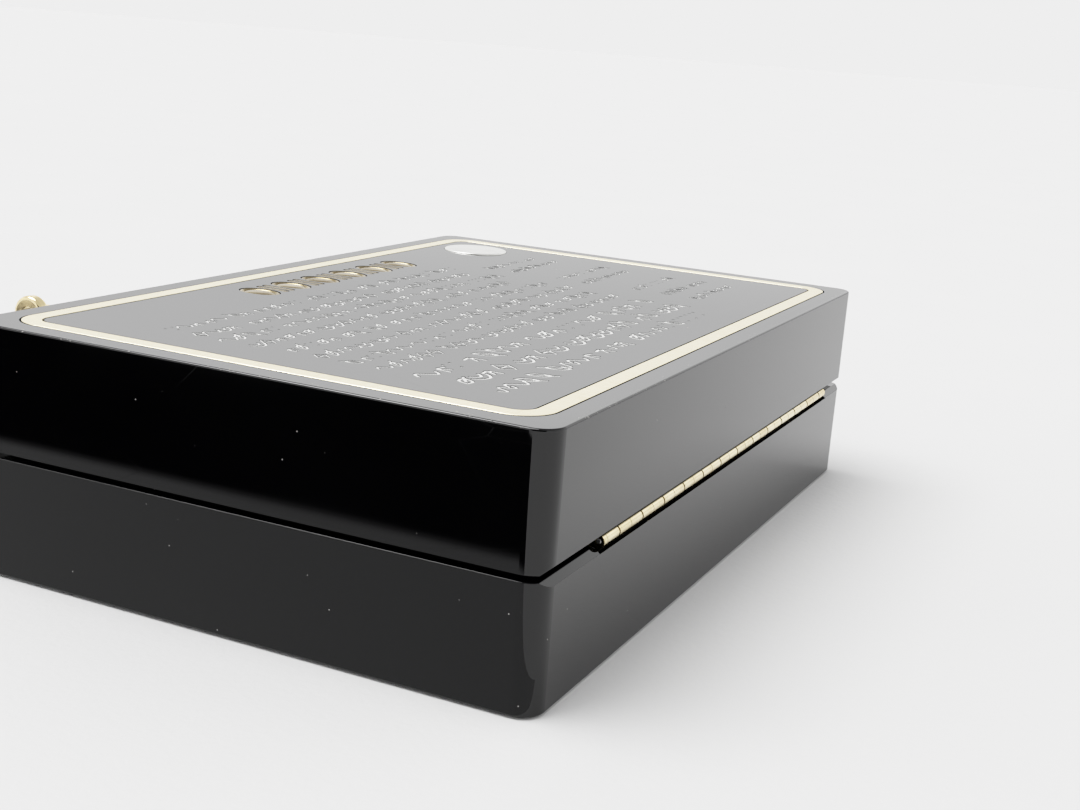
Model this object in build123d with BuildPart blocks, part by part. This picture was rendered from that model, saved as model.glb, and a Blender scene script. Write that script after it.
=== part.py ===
"""Boxed powder compact: a hinged hard case with mirror, powder pan, puff and brush.

Millimetres. +X runs along the hinge, +Y points to the hinge side and +Z is up.
The origin is the centre of the underside, where the case rests.
"""
import os

from build123d import *

os.makedirs("parts", exist_ok=True)

# ---------------------------------------------------------------- driving dimensions
# Case
case_length = 176.0
case_width = 114.0
case_height = 46.0
corner_radius = 4.2
edge_radius = 0.4
rim_edge_radius = 0.12
wall = 4.5
rear_wall = 6.5
top_thickness = 4.0
floor_thickness = 3.0
base_rim = 22.22
lid_rim = 23.26
felt_proud = 0.3
felt_thickness = 0.6
felt_inset = 4.0
felt_gap = 0.2

# Piano hinge, in the gap between the two rims
hinge_right = 65.1
short_knuckle = 1.6
knuckle_pitch = 5.2
knuckle_length = 4.88
full_knuckles = 26
barrel_radius = 1.1
barrel_inset = 1.05
barrel_clearance = 0.25
knuckle_play = 0.085
pin_radius = 0.5
pin_clearance = 0.05
leaf_thickness = 0.5
leaf_inner_edge = 50.8
groove_depth = 1.3
lid_groove_top = 24.4
base_groove_bottom = 21.2
rebate_end = 1.2

# Hinge screws
screw_count = 7
screw_pitch = 20.8
screw_radius = 0.55
screw_head_radius = 1.0
screw_length = 4.6
screw_clearance = 0.05
pilot_extra_depth = 0.6
slot_width = 0.25
slot_length = 2.4
slot_turn = 28

# Band, panel and ornaments on the lid
band_inset = 4.8
band_width = 3.35
band_depth = 1.2
band_gap = 0.35
band_proud = 0.05
band_chamfer = 0.04
band_outer_corner = 6.4
band_inner_corner = 3.4
disc_radius = 8.0
disc_centre = (-67.0, -37.6)
disc_depth = 1.0
disc_proud = 0.3
disc_edge = 0.28
title_centre = (-2.4, -39.2)
bead_length = 6.4
bead_height = 9.2
bead_count = 6
bead_pitch = 11.2
reel_width = 1.3
reel_height = 7.8
reel_spread = 1.04
title_thickness = 0.6
title_recess = 0.25
inlay_gap = 0.1

# Lining, mirror and tray
liner_thickness = 1.2
liner_clearance = 0.1
liner_above_rim = 2.7
liner_edge = 0.4
lining_gap = 0.6
lining_clearance = 0.1
lid_cavity_clearance = 0.25
backing_thickness = 3.4
mirror_length = 148.0
mirror_width = 84.0
mirror_thickness = 2.0
mirror_corner = 4.0
mirror_seat = 1.0
mirror_clearance = 0.1
bezel_border = 3.2
bezel_lip = 2.0
bezel_lip_thickness = 0.9
bezel_edge = 0.8
tray_top = 20.5
tray_clearance = 0.15
tray_corner = 1.6
tray_edge = 0.6

# Powder, puff and brush
pan_centre = (-40.0, 7.0)
pan_radius = 39.0
pan_depth = 5.6
pan_wall = 0.6
pan_flange = 2.0
pan_edge = 0.25
pan_clearance = 0.3
powder_clearance = 0.05
powder_below_rim = 0.4
powder_crown_rise = 0.9
puff_centre = (43.0, 7.0)
puff_radius = 34.5
puff_thickness = 12.0
puff_edge = 4.6
puff_well_depth = 9.0
well_gap = 1.3
ribbon_width = 17.0
ribbon_thickness = 0.7
ribbon_rise = 1.6
ribbon_inset = 2.2
ribbon_tuck = 1.0
brush_y = -41.5
brush_axis_height = 5.4
brush_well_length = 122.0
brush_well_width = 13.0
brush_well_depth = 10.8
handle_end = -59.0
handle_belly = 4.6
handle_neck = 3.4
tenon_radius = 2.7
tenon_length = 8.0
ferrule_start = 3.0
ferrule_mouth = 4.4
ferrule_wall = 0.5
ferrule_bead = 0.28
bristle_start = 20.0
bristle_tip = 53.0
bristle_belly = 5.1
notch_radius = 9.5
notch_offset = 4.0

# Small hardware
magnet_radius = 1.5
magnet_length = 3.0
magnet_proud = 0.5
magnet_spread = 96.0
magnet_clearance = 0.05
bumper_radius = 1.5
bumper_spread = 144.0
small_edge = 0.2
eye_x = 67.0
eye_height = 43.6
eye_reach = 4.4
eye_radius = 3.5
eye_hole = 1.6
eye_thickness = 2.4
eye_edge = 0.7
eye_stem = 1.1
eye_plate_radius = 2.3
eye_plate_thickness = 0.8
eye_shank = 1.0
eye_shank_length = 5.9
eye_hole_clearance = 0.05

# ---------------------------------------------------------------- worked-out places
front_face = -case_width / 2
rear_face = case_width / 2
cavity_floor = felt_proud + floor_thickness
cavity_length = case_length - 2 * wall
cavity_width = case_width - wall - rear_wall
cavity_y = (wall - rear_wall) / 2
cavity_corner = 3.0
ceiling = case_height - top_thickness
hinge_y = rear_face - barrel_inset
hinge_z = (base_rim + lid_rim) / 2
hinge_length = short_knuckle + full_knuckles * knuckle_pitch
hinge_left = hinge_right - hinge_length
hinge_x = (hinge_left + hinge_right) / 2
screw_y = (leaf_inner_edge + hinge_y - barrel_radius) / 2
magnet_y = front_face + wall / 2
magnet_hole_depth = magnet_length - magnet_proud + magnet_clearance
liner_top = base_rim + liner_above_rim
liner_length = cavity_length - 2 * liner_clearance
liner_width = cavity_width - 2 * liner_clearance
lid_cavity_length = cavity_length + 2 * lid_cavity_clearance
lid_cavity_width = cavity_width + 2 * lid_cavity_clearance
backing_bottom = ceiling - backing_thickness
mirror_bottom = backing_bottom + mirror_seat - mirror_thickness
pan_floor = tray_top - pan_depth
puff_bottom = tray_top - puff_well_depth
brush_z = tray_top - brush_well_depth + brush_axis_height


def save(builder, name):
    """Labels a finished piece and writes its STEP file."""
    builder.part.label = name
    export_step(builder.part, f"parts/{name}.step")


def rounded_block(length, width, radius, bottom, top, centre_y=0.0, mode=Mode.ADD):
    """Adds or cuts a rounded rectangular prism between two heights in the open part."""
    with BuildSketch(Plane.XY.offset(bottom)) as outline:
        with Locations((0, centre_y)):
            RectangleRounded(length, width, radius)
    extrude(outline.sketch, amount=top - bottom, mode=mode)


def round_block(radius, x, y, bottom, top, mode=Mode.ADD):
    """Adds or cuts an upright cylinder between two heights in the open part."""
    with Locations((x, y, bottom)):
        Cylinder(radius, top - bottom, align=(Align.CENTER, Align.CENTER, Align.MIN), mode=mode)


def rear_groove(rim, outer_edge):
    """Cuts the sloping edge that faces the hinge from the rear of a shell."""
    with BuildSketch(Plane.YZ) as wedge:
        with BuildLine():
            Polyline(
                (rear_face - groove_depth, rim),
                (rear_face, outer_edge),
                (rear_face + 1, outer_edge),
                (rear_face + 1, 2 * hinge_z - rim),
                (rear_face - groove_depth, 2 * hinge_z - rim),
                close=True,
            )
        make_face()
    extrude(wedge.sketch, amount=case_length, both=True, mode=Mode.SUBTRACT)


def along_hinge(radius, length, x, mode=Mode.ADD):
    """Adds or cuts a cylinder that lies on the hinge axis."""
    with Locations(Location((x, hinge_y, hinge_z), (0, 90, 0))):
        Cylinder(radius, length, mode=mode)


def screw_places(height):
    """Places of the screws along a hinge leaf, at a height."""
    first = hinge_x - screw_pitch * (screw_count - 1) / 2
    return [(first + screw_pitch * i, screw_y, height) for i in range(screw_count)]


def pilot_holes(rim, direction):
    """Cuts the screws' pilot holes into a shell's rim; direction is up or down."""
    depth = screw_length + pilot_extra_depth
    for place in screw_places(rim + direction * depth / 2):
        with Locations(place):
            Cylinder(screw_radius + screw_clearance, depth, mode=Mode.SUBTRACT)


def magnet_places(height):
    """Places of the closing magnets in the front wall, at a height."""
    return [(side * magnet_spread / 2, magnet_y, height) for side in (-1, 1)]


# ---------------------------------------------------------------- base body
with BuildPart() as base_shell:
    rounded_block(case_length, case_width, corner_radius, felt_proud, base_rim)
    fillet(base_shell.edges().group_by(Axis.Z)[0], edge_radius)
    fillet(base_shell.edges().group_by(Axis.Z)[-1], rim_edge_radius)
    rounded_block(cavity_length, cavity_width, cavity_corner, cavity_floor, base_rim, cavity_y, Mode.SUBTRACT)
    rounded_block(
        case_length - 2 * felt_inset,
        case_width - 2 * felt_inset,
        corner_radius,
        felt_proud,
        felt_thickness,
        mode=Mode.SUBTRACT,
    )
    rear_groove(base_rim, base_groove_bottom)
    with Locations((hinge_x, hinge_y - barrel_radius - barrel_clearance, base_groove_bottom)):
        Box(
            hinge_length + 2 * rebate_end,
            case_width,
            case_height,
            align=(Align.CENTER, Align.MIN, Align.MIN),
            mode=Mode.SUBTRACT,
        )
    pilot_holes(base_rim, -1)
    for place in magnet_places(base_rim - (magnet_length - magnet_proud) / 2):
        with Locations(place):
            Cylinder(magnet_radius + magnet_clearance, magnet_hole_depth, mode=Mode.SUBTRACT)
save(base_shell, "base_shell")

with BuildPart() as underside_felt:
    rounded_block(
        case_length - 2 * (felt_inset + felt_gap),
        case_width - 2 * (felt_inset + felt_gap),
        corner_radius - felt_gap,
        0,
        felt_thickness,
    )
save(underside_felt, "underside_felt")

with BuildPart() as rim_liner:
    rounded_block(
        liner_length,
        liner_width,
        cavity_corner - liner_clearance,
        cavity_floor,
        liner_top,
        cavity_y,
    )
    fillet(rim_liner.edges().group_by(Axis.Z)[-1], liner_edge)
    rounded_block(
        liner_length - 2 * liner_thickness,
        liner_width - 2 * liner_thickness,
        cavity_corner - liner_thickness,
        cavity_floor,
        liner_top,
        cavity_y,
        Mode.SUBTRACT,
    )
save(rim_liner, "rim_liner")

tray_length = liner_length - 2 * (liner_thickness + tray_clearance)
tray_width = liner_width - 2 * (liner_thickness + tray_clearance)

with BuildPart() as insert_tray:
    rounded_block(tray_length, tray_width, tray_corner, cavity_floor, tray_top, cavity_y)
    round_block(pan_radius + pan_clearance, *pan_centre, pan_floor, tray_top, Mode.SUBTRACT)
    round_block(puff_radius + well_gap, *puff_centre, puff_bottom, tray_top, Mode.SUBTRACT)
    with BuildSketch(Plane.XY.offset(tray_top)):
        with Locations((0, brush_y)):
            SlotOverall(brush_well_length, brush_well_width)
        with Locations((0, brush_y + notch_offset)):
            Circle(notch_radius)
    extrude(amount=-brush_well_depth, mode=Mode.SUBTRACT)
    fillet(insert_tray.edges().group_by(Axis.Z)[-1], tray_edge)
save(insert_tray, "insert_tray")

with BuildPart() as powder_pan:
    with BuildSketch(Plane.XZ.offset(-pan_centre[1])):
        with BuildLine():
            Polyline(
                (pan_centre[0], pan_floor),
                (pan_centre[0] + pan_radius, pan_floor),
                (pan_centre[0] + pan_radius, tray_top),
                (pan_centre[0] + pan_radius + pan_flange, tray_top),
                (pan_centre[0] + pan_radius + pan_flange, tray_top + pan_wall),
                (pan_centre[0] + pan_radius - pan_wall, tray_top + pan_wall),
                (pan_centre[0] + pan_radius - pan_wall, pan_floor + pan_wall),
                (pan_centre[0], pan_floor + pan_wall),
                close=True,
            )
        make_face()
    revolve(axis=Axis((*pan_centre, 0), (0, 0, 1)))
    fillet(powder_pan.edges().group_by(Axis.Z)[-1], pan_edge)
save(powder_pan, "powder_pan")

powder_radius = pan_radius - pan_wall - powder_clearance
powder_bottom = pan_floor + pan_wall
powder_edge = tray_top - powder_below_rim
powder_crown = tray_top + powder_crown_rise

with BuildPart() as pressed_powder:
    with BuildSketch(Plane.XZ.offset(-pan_centre[1])):
        with BuildLine():
            Line((pan_centre[0], powder_bottom), (pan_centre[0] + powder_radius, powder_bottom))
            Line((pan_centre[0] + powder_radius, powder_bottom), (pan_centre[0] + powder_radius, powder_edge))
            TangentArc(
                (pan_centre[0], powder_crown),
                (pan_centre[0] + powder_radius, powder_edge),
                tangent=(1, 0),
            )
            Line((pan_centre[0], powder_crown), (pan_centre[0], powder_bottom))
        make_face()
    revolve(axis=Axis((*pan_centre, 0), (0, 0, 1)))
save(pressed_powder, "pressed_powder")

with BuildPart() as hinge_pin:
    along_hinge(pin_radius, hinge_length - 0.4, hinge_x)
    fillet(hinge_pin.edges().filter_by(GeomType.CIRCLE), 0.15)
save(hinge_pin, "hinge_pin")

with BuildPart() as base_magnets:
    for place in magnet_places(base_rim + magnet_proud - magnet_length / 2):
        with Locations(place):
            Cylinder(magnet_radius, magnet_length)
    fillet(base_magnets.edges().group_by(Axis.Z)[-1], small_edge)
save(base_magnets, "base_magnets")

with BuildPart() as rim_bumpers:
    for side in (-1, 1):
        round_block(bumper_radius, side * bumper_spread / 2, magnet_y, base_rim, lid_rim - 0.02)
    fillet(rim_bumpers.edges().group_by(Axis.Z)[-1], 0.3)
save(rim_bumpers, "rim_bumpers")


# ---------------------------------------------------------------- the piano hinge
def knuckles(first):
    """Middle and length of every second knuckle, counted from the +X end."""
    spans = [(hinge_right - short_knuckle / 2, short_knuckle - 0.25)]
    start = hinge_right - short_knuckle
    for i in range(full_knuckles):
        spans.append((start - knuckle_pitch * (i + 0.5), knuckle_length))
    return spans[first::2]


def make_leaf(plate_bottom, first, shift):
    """Builds one hinge leaf: a drilled plate with tongues that end in knuckles."""
    notch_edge = hinge_y - barrel_radius - barrel_clearance
    plate_middle = plate_bottom + leaf_thickness / 2
    with BuildPart() as leaf:
        with Locations((hinge_x, (leaf_inner_edge + notch_edge) / 2, plate_middle)):
            Box(hinge_length, notch_edge - leaf_inner_edge, leaf_thickness)
        for middle, length in knuckles(first):
            with Locations((middle + shift, (notch_edge + hinge_y) / 2, plate_middle)):
                Box(length, hinge_y - notch_edge, leaf_thickness)
            along_hinge(barrel_radius, length, middle + shift)
        along_hinge(pin_radius + pin_clearance, hinge_length + 2, hinge_x, Mode.SUBTRACT)
    return leaf


def drill_leaf(face_height, direction):
    """Cuts the countersunk screw holes into the open leaf; direction is into the shell."""
    head_height = screw_head_radius - screw_radius
    for x, y, z in screw_places(face_height):
        with Locations((x, y, z)):
            Cylinder(screw_radius + screw_clearance, 3, mode=Mode.SUBTRACT)
        with Locations((x, y, z + direction * head_height / 2)):
            wide = screw_head_radius + screw_clearance
            narrow = screw_radius + screw_clearance
            radii = (narrow, wide)[::-direction]
            Cone(*radii, head_height, mode=Mode.SUBTRACT)


def make_screws(face_height, direction):
    """Builds a row of slotted countersunk screws whose heads lie at a face."""
    head_height = screw_head_radius - screw_radius
    with BuildPart() as screws:
        for x, y, z in screw_places(face_height):
            with Locations((x, y, z + direction * head_height / 2)):
                radii = (screw_radius, screw_head_radius)[::-direction]
                Cone(*radii, head_height)
            with Locations((x, y, z + direction * (head_height + screw_length) / 2)):
                Cylinder(screw_radius, screw_length - head_height)
            with Locations((x, y, z + direction * 0.1)):
                Box(slot_width, slot_length, slot_width, rotation=(0, 0, slot_turn), mode=Mode.SUBTRACT)
    return screws


lower_face = base_rim + leaf_thickness
upper_face = lid_rim - leaf_thickness

lower_plate = make_leaf(base_rim, 1, knuckle_play)
with BuildPart() as hinge_leaf_lower:
    add(lower_plate.part)
    drill_leaf(lower_face, -1)
save(hinge_leaf_lower, "hinge_leaf_lower")

upper_plate = make_leaf(upper_face, 0, -knuckle_play)
with BuildPart() as hinge_leaf_upper:
    add(upper_plate.part)
    drill_leaf(upper_face, 1)
save(hinge_leaf_upper, "hinge_leaf_upper")

hinge_screws_lower = make_screws(lower_face, -1)
save(hinge_screws_lower, "hinge_screws_lower")

hinge_screws_upper = make_screws(upper_face, 1)
save(hinge_screws_upper, "hinge_screws_upper")


# ---------------------------------------------------------------- lid body
def title_shapes(gap):
    """Draws the title's beads and reels in the open sketch, widened by a gap."""
    first_bead = title_centre[0] - bead_pitch * (bead_count - 1) / 2
    for i in range(bead_count):
        with Locations((first_bead + bead_pitch * i, title_centre[1])):
            Ellipse(bead_length / 2 + gap, bead_height / 2 + gap)
    for i in range(bead_count - 1):
        middle = first_bead + bead_pitch * (i + 0.5)
        for side in (-1, 1):
            with Locations((middle + side * reel_spread, title_centre[1])):
                RectangleRounded(reel_width + 2 * gap, reel_height + 2 * gap, reel_width * 0.45 + gap)


eye_y = front_face - eye_reach
eye_hole_depth = eye_shank_length + 2 * eye_hole_clearance
pocket_floor = case_height - band_depth
panel_inset = band_inset + band_width + band_gap

with BuildPart() as lid_shell:
    rounded_block(case_length, case_width, corner_radius, lid_rim, case_height)
    fillet(lid_shell.edges().group_by(Axis.Z)[-1], edge_radius)
    fillet(lid_shell.edges().group_by(Axis.Z)[0], rim_edge_radius)
    rounded_block(
        lid_cavity_length,
        lid_cavity_width,
        cavity_corner + lid_cavity_clearance,
        lid_rim,
        ceiling,
        cavity_y,
        Mode.SUBTRACT,
    )
    rear_groove(lid_rim, lid_groove_top)
    along_hinge(barrel_radius + barrel_clearance, hinge_length + 2 * rebate_end, hinge_x, Mode.SUBTRACT)
    pilot_holes(lid_rim, 1)
    for place in magnet_places(lid_rim + (magnet_length - magnet_proud) / 2):
        with Locations(place):
            Cylinder(magnet_radius + magnet_clearance, magnet_hole_depth, mode=Mode.SUBTRACT)
    rounded_block(
        case_length - 2 * (band_inset - band_gap),
        case_width - 2 * (band_inset - band_gap),
        band_outer_corner + band_gap,
        pocket_floor,
        case_height,
        mode=Mode.SUBTRACT,
    )
    with Locations(Location((eye_x, front_face, eye_height), (90, 0, 0))):
        Cylinder(eye_shank + eye_hole_clearance, 2 * eye_hole_depth, mode=Mode.SUBTRACT)
save(lid_shell, "lid_shell")

with BuildPart() as frame_inlay:
    rounded_block(
        case_length - 2 * band_inset,
        case_width - 2 * band_inset,
        band_outer_corner,
        pocket_floor,
        case_height + band_proud,
    )
    rounded_block(
        case_length - 2 * (band_inset + band_width),
        case_width - 2 * (band_inset + band_width),
        band_inner_corner,
        pocket_floor,
        case_height + band_proud,
        mode=Mode.SUBTRACT,
    )
    chamfer(frame_inlay.edges().group_by(Axis.Z)[-1], band_chamfer)
save(frame_inlay, "frame_inlay")

with BuildPart() as lid_panel:
    rounded_block(
        case_length - 2 * panel_inset,
        case_width - 2 * panel_inset,
        band_inner_corner - band_gap,
        pocket_floor,
        case_height,
    )
    round_block(disc_radius + inlay_gap, *disc_centre, case_height - disc_depth, case_height, Mode.SUBTRACT)
    with BuildSketch(Plane.XY.offset(case_height)):
        title_shapes(inlay_gap)
    extrude(amount=-(title_thickness + title_recess), mode=Mode.SUBTRACT)
save(lid_panel, "lid_panel")

with BuildPart() as round_inlay:
    round_block(disc_radius, *disc_centre, case_height - disc_depth, case_height + disc_proud)
    fillet(round_inlay.edges().group_by(Axis.Z)[-1], disc_edge)
save(round_inlay, "round_inlay")

with BuildPart() as title_ornament:
    with BuildSketch(Plane.XY.offset(case_height - title_recess - title_thickness)):
        title_shapes(0)
    extrude(amount=title_thickness)
    fillet(title_ornament.edges().group_by(Axis.Z)[-1], small_edge)
save(title_ornament, "title_ornament")

lining_length = lid_cavity_length - 2 * lining_clearance
lining_width = lid_cavity_width - 2 * lining_clearance
lining_bottom = liner_top + lining_gap

with BuildPart() as lid_wall_lining:
    rounded_block(lining_length, lining_width, cavity_corner, lining_bottom, backing_bottom, cavity_y)
    rounded_block(
        lining_length - 2 * liner_thickness,
        lining_width - 2 * liner_thickness,
        cavity_corner - liner_thickness,
        lining_bottom,
        backing_bottom,
        cavity_y,
        Mode.SUBTRACT,
    )
    fillet(lid_wall_lining.edges().group_by(Axis.Z)[0], liner_edge)
save(lid_wall_lining, "lid_wall_lining")

with BuildPart() as mirror_backing:
    rounded_block(lining_length, lining_width, cavity_corner, backing_bottom, ceiling, cavity_y)
    rounded_block(
        mirror_length + 2 * mirror_clearance,
        mirror_width + 2 * mirror_clearance,
        mirror_corner,
        backing_bottom,
        backing_bottom + mirror_seat,
        cavity_y,
        Mode.SUBTRACT,
    )
save(mirror_backing, "mirror_backing")

with BuildPart() as mirror:
    rounded_block(
        mirror_length,
        mirror_width,
        mirror_corner,
        mirror_bottom,
        mirror_bottom + mirror_thickness,
        cavity_y,
    )
save(mirror, "mirror")

bezel_bottom = mirror_bottom - bezel_lip_thickness

with BuildPart() as mirror_bezel:
    rounded_block(
        mirror_length + 2 * bezel_border,
        mirror_width + 2 * bezel_border,
        mirror_corner + bezel_border,
        bezel_bottom,
        backing_bottom,
        cavity_y,
    )
    fillet(mirror_bezel.edges().group_by(Axis.Z)[0], bezel_edge)
    rounded_block(
        mirror_length - 2 * bezel_lip,
        mirror_width - 2 * bezel_lip,
        mirror_corner - bezel_lip,
        bezel_bottom,
        mirror_bottom,
        cavity_y,
        Mode.SUBTRACT,
    )
    rounded_block(
        mirror_length + 2 * mirror_clearance,
        mirror_width + 2 * mirror_clearance,
        mirror_corner,
        mirror_bottom,
        backing_bottom,
        cavity_y,
        Mode.SUBTRACT,
    )
save(mirror_bezel, "mirror_bezel")

with BuildPart() as lid_magnets:
    for place in magnet_places(lid_rim - magnet_proud + magnet_length / 2):
        with Locations(place):
            Cylinder(magnet_radius, magnet_length)
    fillet(lid_magnets.edges().group_by(Axis.Z)[0], small_edge)
save(lid_magnets, "lid_magnets")

with BuildPart() as strap_eye:
    with Locations(Location((eye_x, eye_y, eye_height), (0, 90, 0))):
        Cylinder(eye_radius, eye_thickness)
    fillet(strap_eye.edges().filter_by(GeomType.CIRCLE), eye_edge)
    with Locations(Location((eye_x, (front_face + eye_y) / 2, eye_height), (90, 0, 0))):
        Cylinder(eye_stem, eye_reach)
    with Locations(Location((eye_x, front_face - eye_plate_thickness / 2, eye_height), (90, 0, 0))):
        Cylinder(eye_plate_radius, eye_plate_thickness)
    with Locations(Location((eye_x, front_face + eye_shank_length / 2, eye_height), (90, 0, 0))):
        Cylinder(eye_shank, eye_shank_length)
    with Locations(Location((eye_x, eye_y, eye_height), (0, 90, 0))):
        Cylinder(eye_hole, eye_thickness * 2, mode=Mode.SUBTRACT)
save(strap_eye, "strap_eye")

# ---------------------------------------------------------------- puff
puff_top = puff_bottom + puff_thickness

with BuildPart() as puff:
    with BuildSketch(Plane.XZ.offset(-puff_centre[1])):
        with BuildLine():
            Line((puff_centre[0], puff_bottom), (puff_centre[0] + puff_radius - puff_edge, puff_bottom))
            ThreePointArc(
                (puff_centre[0] + puff_radius - puff_edge, puff_bottom),
                (puff_centre[0] + puff_radius, puff_bottom + puff_edge),
                (puff_centre[0] + puff_radius - puff_edge, puff_bottom + 2 * puff_edge),
            )
            TangentArc(
                (puff_centre[0], puff_top),
                (puff_centre[0] + puff_radius - puff_edge, puff_bottom + 2 * puff_edge),
                tangent=(1, 0),
            )
            Line((puff_centre[0], puff_top), (puff_centre[0], puff_bottom))
        make_face()
    revolve(axis=Axis((*puff_centre, 0), (0, 0, 1)))
save(puff, "puff")

ribbon_half = puff_radius - ribbon_inset
ribbon_foot = puff_bottom + 2 * puff_edge - ribbon_tuck

with BuildPart() as puff_ribbon:
    with BuildSketch(Plane.XZ.offset(-puff_centre[1])):
        with BuildLine():
            ThreePointArc(
                (puff_centre[0] - ribbon_half, ribbon_foot),
                (puff_centre[0], puff_top + ribbon_rise),
                (puff_centre[0] + ribbon_half, ribbon_foot),
            )
            ThreePointArc(
                (puff_centre[0] - ribbon_half, ribbon_foot - ribbon_thickness),
                (puff_centre[0], puff_top + ribbon_rise - ribbon_thickness),
                (puff_centre[0] + ribbon_half, ribbon_foot - ribbon_thickness),
            )
            for side in (-1, 1):
                x = puff_centre[0] + side * ribbon_half
                Line((x, ribbon_foot), (x, ribbon_foot - ribbon_thickness))
        make_face()
    extrude(amount=ribbon_width / 2, both=True)
save(puff_ribbon, "puff_ribbon")


# ---------------------------------------------------------------- brush
def brush_revolve():
    """Revolves the pending profile about the brush's own axis."""
    revolve(axis=Axis((0, brush_y, brush_z), (1, 0, 0)))


def brush_plane():
    """The upright plane through the brush's axis, in which its outlines are drawn."""
    return Plane(origin=(0, brush_y, brush_z), x_dir=(1, 0, 0), z_dir=(0, -1, 0))


bristle_root = ferrule_mouth - ferrule_wall - 0.05

with BuildPart() as brush_handle:
    with BuildSketch(brush_plane()):
        with BuildLine():
            Spline(
                (handle_end, 0),
                (handle_end + 8, 3.6),
                (handle_end + 26, handle_belly),
                (ferrule_start, handle_neck),
                tangents=((0, 1), (1, -0.08)),
            )
            Polyline(
                (ferrule_start, handle_neck),
                (ferrule_start, tenon_radius),
                (ferrule_start + tenon_length, tenon_radius),
                (ferrule_start + tenon_length, 0),
                (handle_end, 0),
            )
        make_face()
    brush_revolve()
save(brush_handle, "brush_handle")

with BuildPart() as brush_ferrule:
    with BuildSketch(brush_plane()):
        with BuildLine():
            Polyline(
                (ferrule_start + 0.05, tenon_radius + 0.05),
                (ferrule_start + 0.05, handle_neck + 0.1),
                (bristle_start, ferrule_mouth),
                (bristle_start, ferrule_mouth - ferrule_wall),
                (ferrule_start + tenon_length + 0.1, tenon_radius + 0.05),
                close=True,
            )
        make_face()
    brush_revolve()
    for x in (ferrule_start + 4.0, ferrule_start + 5.6, ferrule_start + 13.0):
        share = (x - ferrule_start) / (bristle_start - ferrule_start)
        ring_radius = handle_neck + 0.1 + (ferrule_mouth - handle_neck - 0.1) * share
        with Locations(Location((x, brush_y, brush_z), (0, 90, 0))):
            Torus(ring_radius, ferrule_bead)
save(brush_ferrule, "brush_ferrule")

with BuildPart() as brush_bristles:
    with BuildSketch(brush_plane()):
        with BuildLine():
            Polyline(
                (bristle_tip, 0),
                (ferrule_start + tenon_length + 0.3, 0),
                (ferrule_start + tenon_length + 0.3, tenon_radius - 0.1),
                (bristle_start, bristle_root),
            )
            Spline(
                (bristle_start, bristle_root),
                (bristle_start + 14, bristle_belly),
                (bristle_tip - 7, 4.3),
                (bristle_tip, 0),
                tangents=((1, 0.2), (0, -1)),
            )
        make_face()
    brush_revolve()
save(brush_bristles, "brush_bristles")
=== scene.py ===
import math
import random

import bmesh
import bpy
from mathutils import Matrix, Vector, noise
from mathutils.geometry import delaunay_2d_cdt


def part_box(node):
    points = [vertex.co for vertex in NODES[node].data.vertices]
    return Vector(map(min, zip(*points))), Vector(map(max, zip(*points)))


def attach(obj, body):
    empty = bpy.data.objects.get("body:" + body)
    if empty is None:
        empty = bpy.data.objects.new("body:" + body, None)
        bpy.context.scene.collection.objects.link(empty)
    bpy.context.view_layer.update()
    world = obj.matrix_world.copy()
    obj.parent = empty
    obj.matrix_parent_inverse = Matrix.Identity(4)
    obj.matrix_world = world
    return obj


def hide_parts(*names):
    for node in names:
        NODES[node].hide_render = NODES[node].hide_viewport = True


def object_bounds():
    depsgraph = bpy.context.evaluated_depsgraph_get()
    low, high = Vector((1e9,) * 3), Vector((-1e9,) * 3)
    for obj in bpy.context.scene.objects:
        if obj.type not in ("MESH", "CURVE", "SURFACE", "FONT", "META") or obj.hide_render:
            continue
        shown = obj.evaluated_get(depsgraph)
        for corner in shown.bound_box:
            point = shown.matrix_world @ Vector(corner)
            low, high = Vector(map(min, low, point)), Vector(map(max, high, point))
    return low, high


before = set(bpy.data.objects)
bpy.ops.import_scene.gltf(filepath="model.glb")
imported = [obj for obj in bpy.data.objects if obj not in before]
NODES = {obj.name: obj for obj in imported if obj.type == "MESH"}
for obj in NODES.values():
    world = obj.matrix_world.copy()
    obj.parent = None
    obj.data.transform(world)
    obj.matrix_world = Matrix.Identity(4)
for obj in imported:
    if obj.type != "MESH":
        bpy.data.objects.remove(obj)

cad_low, cad_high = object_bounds()
MM = 0.001
SEED = 7


# ---------------------------------------------------------------- camera
CAMERA_PLACE = (0.28066, 0.14150, 0.10119)
CAMERA_AZIMUTH = 24.36
CAMERA_ELEVATION = 13.70
CAMERA_ROLL = 4.29
CAMERA_LENS = 50.26
SENSOR_WIDTH = 36.0


def make_camera():
    """The photograph's viewpoint: degrees round from +X, above the floor, and of roll."""
    data = bpy.data.cameras.new("camera")
    data.lens = CAMERA_LENS
    data.sensor_fit = "HORIZONTAL"
    data.sensor_width = SENSOR_WIDTH
    data.clip_start = 0.005
    camera = bpy.data.objects.new("camera", data)
    turn = Matrix.Rotation(math.radians(CAMERA_AZIMUTH + 90), 4, "Z")
    turn @= Matrix.Rotation(math.radians(90 - CAMERA_ELEVATION), 4, "X")
    turn @= Matrix.Rotation(math.radians(CAMERA_ROLL), 4, "Z")
    camera.matrix_world = Matrix.Translation(CAMERA_PLACE) @ turn
    bpy.context.scene.collection.objects.link(camera)
    bpy.context.scene.camera = camera


make_camera()


# ---------------------------------------------------------------- helpers
def link_mesh(name, points, faces, smooth=True):
    """A new mesh object in the row frame, from points in metres."""
    mesh = bpy.data.meshes.new(name)
    mesh.from_pydata([tuple(p) for p in points], [], faces)
    mesh.validate()
    for polygon in mesh.polygons:
        polygon.use_smooth = smooth
    piece = bpy.data.objects.new(name, mesh)
    bpy.context.scene.collection.objects.link(piece)
    return piece


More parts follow.
